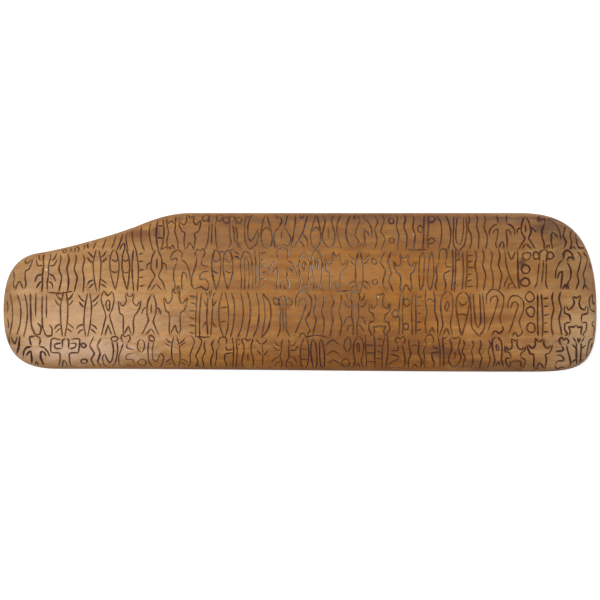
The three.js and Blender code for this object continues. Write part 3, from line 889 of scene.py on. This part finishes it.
def board_mesh():
    """Both faces, joined along the board's widest line."""
    front, front_faces, front_depth, front_border, front_pattern = face_mesh(FRONT_SEED, False, FRONT_ROWS)
    back, back_faces, back_depth, back_border, back_pattern = face_mesh(BACK_SEED, True, BACK_ROWS)
    shared = {source: i for i, source in enumerate(front_border) if source >= 0}
    index = np.empty(len(back), int)
    kept = []
    for i, source in enumerate(back_border):
        if source in shared:
            index[i] = shared[source]
        else:
            index[i] = len(front) + len(kept)
            kept.append(i)
    points = np.vstack([front, back[kept] * (1, 1, -1)]) + (0, 0, THICKNESS / 2)
    faces = np.vstack([front_faces, index[back_faces][:, ::-1]])
    depth = np.concatenate([front_depth, back_depth[kept]])
    mesh = bpy.data.meshes.new("carved_tablet")
    mesh.from_pydata((points * MM).tolist(), [], faces.tolist())
    mesh.update()
    # The wood's nodes read how deep each point is cut, and how far down the rounding it lies.
    down = 1 - (np.abs(points[:, 2] - THICKNESS / 2) + depth) / (THICKNESS / 2)
    for name, values in (("cut", depth / CUT_DEPTH), ("rim", np.clip(down, 0, 1))):
        attribute = mesh.attributes.new(name, "FLOAT", "POINT")
        attribute.data.foreach_set("value", values.astype(np.float32))
    # The flat pattern holds the front in its upper half and the back in its lower half.
    upper = front_pattern[front_faces].reshape(-1, 2)
    lower = back_pattern[back_faces][:, ::-1].reshape(-1, 2)
    pattern = np.vstack([upper, lower])
    across = pattern[:, 0] / (LENGTH + PATTERN_MARGIN) + 0.5
    upward = (pattern[:, 1] / (BREADTH + PATTERN_MARGIN) + 0.5) / 2
    upward[:front_faces.size] += 0.5
    mesh.uv_layers.new(name="OFBake").uv.foreach_set("vector", np.stack([across, upward], 1).ravel())
    mesh.shade_smooth()
    mesh.set_sharp_from_angle(angle=math.radians(SHARP_ANGLE))
    return mesh


tablet = bpy.data.objects.new("carved_tablet", board_mesh())
bpy.context.scene.collection.objects.link(tablet)
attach(tablet, "root")
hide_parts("tablet")


# The wood

def tone(red, green, blue):
    """A colour given as it looks on a screen, from 0 to 255."""
    def linear(value):
        share = value / 255
        return share / 12.92 if share <= 0.04045 else ((share + 0.055) / 1.055) ** 2.4
    return (linear(red), linear(green), linear(blue), 1)


class Graph:
    """A material's or world's nodes. An input may be a number, a colour or a node's output."""

    def __init__(self, owner, shader="Principled BSDF"):
        owner.use_nodes = True
        self.tree = owner.node_tree
        self.shader = self.tree.nodes[shader]

    def shade(self, name, value):
        self.feed(self.shader.inputs[name], value)

    def feed(self, socket, value):
        if isinstance(value, bpy.types.NodeSocket):
            self.tree.links.new(value, socket)
        else:
            socket.default_value = value

    def add(self, kind, output, **inputs):
        node = self.tree.nodes.new(kind)
        for name, value in inputs.items():
            self.feed(node.inputs[name], value)
        return node.outputs[output]

    def attribute(self, name):
        node = self.tree.nodes.new("ShaderNodeAttribute")
        node.attribute_name = name
        return node.outputs["Fac"]

    def operate(self, kind, operation, values, output=0):
        node = self.tree.nodes.new(kind)
        node.operation = operation
        for socket, value in zip(node.inputs, values):
            self.feed(socket, value)
        return node.outputs[output]

    def math(self, operation, first, *others):
        for other in others:
            first = self.operate("ShaderNodeMath", operation, (first, other))
        return first

    def product(self, *values):
        return self.math("MULTIPLY", *values)

    def total(self, *values):
        return self.math("ADD", *values)

    def around_zero(self, noise, size):
        """Noise that lies about a half, moved to zero and scaled."""
        return self.product(self.math("SUBTRACT", noise, 0.5), size)

    def vector(self, operation, first, second):
        return self.operate("ShaderNodeVectorMath", operation, (first, second))

    def length(self, vector):
        return self.operate("ShaderNodeVectorMath", "LENGTH", (vector,), "Value")

    def span(self, value, low, high, to_low=0, to_high=1):
        """The value eased from one range to another."""
        node = self.tree.nodes.new("ShaderNodeMapRange")
        node.interpolation_type = "SMOOTHSTEP"
        for socket, number in zip(node.inputs, (value, low, high, to_low, to_high)):
            self.feed(socket, number)
        return node.outputs[0]

    def noise(self, place, cells, detail, roughness=0.5):
        """Noise with this many cells per mm along, across and through the board."""
        scaled = self.vector("MULTIPLY", place, cells)
        return self.add(
            "ShaderNodeTexNoise", "Fac", Vector=scaled, Scale=1, Detail=detail, Roughness=roughness
        )

    def blend(self, share, first, second, mode="MIX"):
        node = self.tree.nodes.new("ShaderNodeMix")
        node.data_type = "RGBA"
        node.blend_type = mode
        for name, value in (("Factor", share), ("A", first), ("B", second)):
            self.feed(node.inputs[name], value)
        return node.outputs["Result"]

    def ramp(self, value, stops):
        """The colour at the value among the stops, of which the first is at 0 and the last at 1."""
        node = self.tree.nodes.new("ShaderNodeValToRGB")
        self.feed(node.inputs[0], value)
        elements = node.color_ramp.elements
        for place, _ in stops[1:-1]:
            elements.new(place)
        for element, (_, colour) in zip(elements, stops):
            element.color = colour
        return node.outputs["Color"]


WHITE = (1, 1, 1, 1)

# The wood's layers of noise: cells per mm along, across and through it, detail and roughness
DRIFT = ((0.011, 0.02, 0.02), 1)
BAND = ((0.006, 0.1, 0.1), 2)
STREAK = ((0.014, 0.42, 0.42), 3, 0.6)
FIBRE = ((0.07, 2.3, 2.3), 2, 0.65)
MOTTLE = ((0.06, 0.09, 0.09), 3)
FLECK = ((0.22, 0.42, 0.42), 2, 0.6)
PORE = ((0.19, 3.1, 3.1), 1)
RAGGED = ((0.12, 0.3, 0.2), 3)
PATCH = ((0.045, 0.07, 0.07), 2)
SPECK = ((0.16, 0.16, 0.16), 3)

# How far the grain drifts in mm, and the mottled tone as a share of the length
GRAIN_DRIFT = 16
TONE_DRIFT = 0.16

# A span is two values, and the shares that they turn into where these aren't 0 and 1
TINT_SPAN = (0.28, 0.72)

# Painted shade: the rim is darker, less so towards the top edge and at the narrow end
RIM_SHADE = (0.55, 0.44, 0.36, 1)
RIM_DOWN = (0.25, 0.95)
RIM_UPWARD = (50, -10, 0.3, 1)
RIM_ALONG = (-210, -170, 0.2, 1)
PORE_SPAN = (0.63, 0.74)
PORE_TONE = tone(84, 48, 26)
PORE_SHARE = 0.45

# The dark in the cuts: brown or purple, and bolder at the broad end and along the lowest row
CUT_SPAN = (0.03, 0.45)
INK_TONES = (tone(90, 58, 42), tone(78, 50, 54))
BOLD_TONE = tone(58, 29, 36)
TONE_PATCHES = (0.35, 0.65)
INK_PATCHES = (0.3, 0.7, 0.62, 0.94)
INK_SHARE = 0.96
BROAD_END = (130, 212, 0, 0.93)
LOW_ROW = (-22, -46, 0, 0.3)
NARROW_LOW = (-22, -40)
NARROW_END = (-140, -200, 0, 0.92)

# Painted glints in the cuts, pale highlights, thin and thick: their middle and reach in mm, how specks break
# them, and their share. They lie where the wall is this deep and tilts this far.
THIN_GLINTS = ((8, 12, THICKNESS), (130, 50, 12), (0.36, 0.56), 0.75)
THICK_GLINTS = ((-6, 15, THICKNESS), (48, 26, 12), (0.3, 0.5), 1)
GLINT_SHARE = 0.95
GLINT_EDGE = (1.2, 0.35)
WALL_DEPTHS = (0.12, 0.5)
WALL_TILTS = (0.3, -0.15)
GLINT_TONES = (tone(168, 156, 138), tone(198, 188, 168))

# The finish
SPECULAR = 0.2
ROUGHNESS = 0.4
STREAK_ROUGHNESS = 0.16

# The board's tone from the narrow end to the broad end. Its paler ends are partly painted sheen.
TONES = (
    (0, tone(176, 137, 95)),
    (0.2, tone(169, 126, 75)),
    (0.38, tone(154, 105, 48)),
    (0.7, tone(153, 100, 39)),
    (1, tone(160, 121, 78)),
)

# Marks laid over the wood's colour, stains, knots and patches, with painted sheen and painted shade among
# them: their edge, as shares of their reach, how ragged it is, and each mark's middle and reach in mm,
# colour and strength, and back where it isn't on the front
MARK_EDGE = (1.15, 0.25)
RAGGEDNESS = 1.5
MARKS = (
    ((52, -43), (108, 20), (96, 54, 22), 0.6),
    ((-122, 44), (17, 5.5), (96, 50, 26), 0.75),
    ((-108, 44.5), (4.5, 4.5), (60, 30, 26), 0.85),
    ((-54, 51), (5, 12), (128, 78, 52), 0.45),
    ((-46, 35.5), (2.2, 2.2), (60, 45, 50), 0.8),
    ((187, 49), (15, 9), (70, 48, 34), 0.8),
    ((196, 27), (9, 7), (104, 84, 52), 0.4),
    ((216, 7), (5, 5), (120, 100, 70), 0.55),
    ((167, 22.5), (2.8, 4.5), (62, 36, 20), 0.8),
    ((160, 56), (34, 1.3), (104, 62, 30), 0.7),
    ((-12, -10), (7, 8), (104, 56, 26), 0.6),
    # Painted sheen: a pale veil over the narrow end's lower half.
    ((-150, -24), (80, 26), (212, 174, 136), 0.35),
    ((-95, 36), (100, 20), (132, 88, 48), 0.4),
    ((130, 46), (150, 24), (110, 78, 52), 0.4),
    # Painted shade: a darker band just inside the top edge.
    ((40, 55.5), (200, 4.5), (84, 56, 38), 0.55),
    # Painted shade: a darker band just inside the bottom edge, towards the broad end.
    ((152, -56), (44, 6), (84, 52, 34), 0.5),
    ((30, -16), (56, 18), (120, 74, 38), 0.42),
    ((-10, 42), (110, 14), (116, 80, 52), 0.28),
    # Painted shade just inside the top edge.
    ((-52, 53), (42, 3.5), (104, 70, 44), 0.4),
    ((203, 42), (26, 14), (92, 66, 46), 0.4),
    ((205, 14), (24, 16), (120, 92, 64), 0.28),
    # Painted shade along the bottom edge towards the narrow end.
    ((-140, -59.5), (60, 3.5), (150, 92, 36), 0.7),
    # Painted reflection: a pale veil at the broad end's lower corner.
    ((213, -44), (34, 16), (158, 135, 112), 0.45),
    # Painted sheen along the narrow end's lower edge.
    ((-170, -45), (75, 11), (204, 171, 148), 0.5),
    ((44, 14), (52, 12), (178, 126, 68), 0.4),
    # Painted sheen: a pale veil over the broad end's lower half.
    ((216, -28), (26, 26), (190, 158, 118), 0.5),
    # Small pale spots.
    ((-191, 17), (1.3, 1), (214, 190, 158), 0.9),
    ((-158.5, 37.5), (1, 0.8), (206, 178, 142), 0.7),
    ((58.5, -3.5), (1.4, 0.8), (214, 190, 158), 0.8),
    ((86, 43.5), (1.5, 0.9), (200, 172, 134), 0.8),
    ((106, -45), (12, 6), (88, 58, 40), 0.6),
    ((-80, -30), (60, 12), (112, 66, 30), 0.5, "back"),
    ((40, 30), (22, 6), (84, 48, 28), 0.7, "back"),
    ((150, -20), (5, 6), (58, 34, 24), 0.8, "back"),
)


def marked(graph, colour, place, x, y, front):
    """The colour with the marks laid over it, each with a ragged edge. Some marks are painted sheen and
    painted shade.
    """
    ragged = graph.noise(place, *RAGGED)
    for (mx, my), (rx, ry), ink, strength, *back in MARKS:
        across = graph.math("DIVIDE", graph.math("SUBTRACT", x, mx), rx)
        upward = graph.math("DIVIDE", graph.math("SUBTRACT", y, my), ry)
        away = graph.length(graph.add("ShaderNodeCombineXYZ", "Vector", X=across, Y=upward))
        reach = graph.total(away, graph.around_zero(ragged, RAGGEDNESS))
        covered = graph.span(reach, *MARK_EDGE, 0, strength)
        shown = graph.math("SUBTRACT", 1, front) if back else front
        colour = graph.blend(graph.product(covered, shown), colour, tone(*ink))
    return colour


def inked(graph, colour, cut, place, x, y):
    """The colour with the dark of the cuts on it, more so in some strokes than in others."""
    patchy = graph.noise(place, *PATCH)
    narrow = graph.product(graph.span(y, *NARROW_LOW), graph.span(x, *NARROW_END))
    bold = graph.math("MAXIMUM", graph.span(x, *BROAD_END), graph.span(y, *LOW_ROW), narrow)
    ink = graph.blend(graph.span(patchy, *TONE_PATCHES), *INK_TONES)
    ink = graph.blend(bold, ink, BOLD_TONE)
    share = graph.math("MAXIMUM", graph.span(patchy, *INK_PATCHES), graph.product(bold, INK_SHARE))
    return graph.blend(graph.product(graph.span(cut, *CUT_SPAN), share), colour, ink)


def painted_glints(graph, colour, cut, place):
    """The colour with painted glints, pale highlights on the cuts' right walls round the middle of the
    front, and their share.
    """
    def spread(middle, reach, breaks, share):
        offset = graph.vector("SUBTRACT", place, middle)
        away = graph.length(graph.vector("MULTIPLY", offset, [1 / size for size in reach]))
        return graph.product(graph.span(away, *GLINT_EDGE), graph.span(speck, *breaks), share)

    speck = graph.noise(place, *SPECK)
    thin = spread(*THIN_GLINTS)
    thick = spread(*THICK_GLINTS)
    facing = graph.add("ShaderNodeTexCoord", "Normal")
    tilt = graph.add("ShaderNodeSeparateXYZ", "X", Vector=facing)
    wall = graph.product(graph.span(cut, *WALL_DEPTHS), graph.span(tilt, *WALL_TILTS))
    glint_share = graph.product(graph.math("MAXIMUM", thin, thick), wall, GLINT_SHARE)
    return graph.blend(glint_share, colour, graph.blend(thick, *GLINT_TONES)), glint_share


def build_wood():
    """Oiled hardwood: tone by place, lengthwise grain, mottling, pores and marks, dark cuts, and painted
    shade, sheen and glints.
    """
    wood = bpy.data.materials.new("oiled_wood")
    graph = Graph(wood)
    metres = graph.add("ShaderNodeTexCoord", "Object")
    place = graph.vector("MULTIPLY", metres, [1 / MM] * 3)
    axes = graph.add("ShaderNodeSeparateXYZ", "X", Vector=place).node.outputs
    x, y, z = axes["X"], axes["Y"], axes["Z"]
    front = graph.span(z, THICKNESS * 0.2, THICKNESS * 0.8)
    rim = graph.attribute("rim")
    cut = graph.attribute("cut")

    # The grain runs along the board and drifts a little from side to side.
    drift = graph.around_zero(graph.noise(place, *DRIFT), GRAIN_DRIFT)
    grained = graph.vector("ADD", place, graph.add("ShaderNodeCombineXYZ", "Vector", Y=drift))
    streak = graph.noise(grained, *STREAK)
    fibre = graph.noise(grained, *FIBRE)
    mottle = graph.noise(place, *MOTTLE)
    pore = graph.span(graph.noise(grained, *PORE), *PORE_SPAN)

    along = graph.total(graph.math("DIVIDE", x, LENGTH), 0.5, graph.around_zero(mottle, TONE_DRIFT))
    colour = graph.ramp(along, TONES)
    for layer, dark, light in (
        (graph.noise(grained, *BAND), (0.84, 0.78, 0.7, 1), (1.13, 1.16, 1.2, 1)),
        (streak, (0.91, 0.87, 0.82, 1), (1.06, 1.08, 1.09, 1)),
        (fibre, (0.9, 0.87, 0.82, 1), (1.07, 1.09, 1.11, 1)),
        (mottle, (0.85, 0.78, 0.68, 1), (1.12, 1.15, 1.18, 1)),
        (graph.noise(grained, *FLECK), (1.05, 0.94, 0.8, 1), (0.94, 1.03, 1.16, 1)),
    ):
        tint = graph.blend(graph.span(layer, *TINT_SPAN), dark, light)
        colour = graph.blend(1, colour, tint, "MULTIPLY")
    # Painted shade darkens the rounding towards the widest line.
    shaded = graph.product(
        graph.span(rim, *RIM_DOWN), graph.span(y, *RIM_UPWARD), graph.span(x, *RIM_ALONG)
    )
    colour = graph.blend(1, colour, graph.blend(shaded, WHITE, RIM_SHADE), "MULTIPLY")
    colour = marked(graph, colour, place, x, y, front)
    colour = graph.blend(graph.product(pore, PORE_SHARE), colour, PORE_TONE)
    colour = inked(graph, colour, cut, place, x, y)
    # Painted highlights: pale glints on the cuts' right walls.
    colour, glint_share = painted_glints(graph, colour, cut, place)
    graph.shade("Base Color", colour)
    graph.shade("Specular IOR Level", SPECULAR)

    # Rougher at the pores, at the painted glints in the cuts and down the rounding.
    gloss = graph.total(graph.around_zero(streak, STREAK_ROUGHNESS), ROUGHNESS)
    for layer, rougher in ((pore, 0.15), (glint_share, 0.3), (rim, 0.25)):
        gloss = graph.total(gloss, graph.product(layer, rougher))
    graph.shade("Roughness", gloss)

    heights = [graph.product(layer, mm) for layer, mm in ((fibre, 0.05), (pore, -0.06), (streak, 0.05))]
    bump = graph.add("ShaderNodeBump", "Normal", Strength=1, Distance=MM, Height=graph.total(*heights))
    graph.shade("Normal", bump)
    return wood


tablet.data.materials.append(build_wood())


# Floor, light and camera

# The breadth that the picture takes in at the board's face, and the camera's lens, sensor and y in mm
PICTURE_WIDTH = 455.3
LENS = 100
SENSOR = 36
CAMERA_Y = -5.8

FLOOR_SIZE = 6
FLOOR_COLOUR = (0.6, 0.6, 0.6, 1)
FLOOR_ROUGHNESS = 0.9
FLOOR_GLOW = 0.65
WORLD_LIGHT = 0.31

# Each lamp's name, place in m, size in m and power in W
LAMPS = (
    ("key", (-0.7, 0, 1.7), 0.8, 18.5),
    ("window", (0.2, 1.4, 1), 1.1, 12.5),
    ("fill", (1.5, 0.1, 1), 0.9, 5.5),
)


def seen_directly(graph):
    """1 for the camera's rays and those that a shiny or clear surface sends on, otherwise 0."""
    rays = graph.add("ShaderNodeLightPath", "Is Camera Ray").node.outputs
    names = ("Is Camera Ray", "Is Glossy Ray", "Is Transmission Ray")
    return graph.math("MAXIMUM", *(rays[name] for name in names))


def build_floor():
    """A plain pale floor. Seen directly, it glows a little, so it shows as white with a faint shadow."""
    bpy.ops.mesh.primitive_plane_add(size=FLOOR_SIZE, location=(0, 0, 0))
    floor = bpy.context.object
    floor.name = "floor"
    plain = bpy.data.materials.new("floor")
    graph = Graph(plain)
    graph.shade("Base Color", FLOOR_COLOUR)
    graph.shade("Roughness", FLOOR_ROUGHNESS)
    graph.shade("Emission Color", WHITE)
    graph.shade("Emission Strength", graph.product(seen_directly(graph), FLOOR_GLOW))
    floor.data.materials.append(plain)


def area_light(name, place, size, power):
    light = bpy.data.lights.new(name, "AREA")
    light.shape = "SQUARE"
    light.size = size
    light.energy = power
    lamp = bpy.data.objects.new(name, light)
    lamp.location = place
    lamp.rotation_euler = (-Vector(place)).to_track_quat("-Z", "Y").to_euler()
    bpy.context.scene.collection.objects.link(lamp)


def build_camera():
    data = bpy.data.cameras.new("camera")
    data.lens = LENS
    data.sensor_width = SENSOR
    camera = bpy.data.objects.new("camera", data)
    distance = PICTURE_WIDTH / 2 * LENS / (SENSOR / 2)
    camera.location = (0, CAMERA_Y * MM, (distance + THICKNESS / 2) * MM)
    bpy.context.scene.collection.objects.link(camera)
    bpy.context.scene.camera = camera


def build_world():
    """A soft even light from all round, behind which the background shows as white."""
    world = bpy.data.worlds.new("studio")
    graph = Graph(world, "Background")
    graph.shade("Color", WHITE)
    graph.shade("Strength", graph.span(seen_directly(graph), 0, 1, WORLD_LIGHT, 1))
    bpy.context.scene.world = world


build_floor()
for lamp in LAMPS:
    area_light(*lamp)
build_camera()
build_world()
bpy.context.scene.view_settings.view_transform = "Standard"
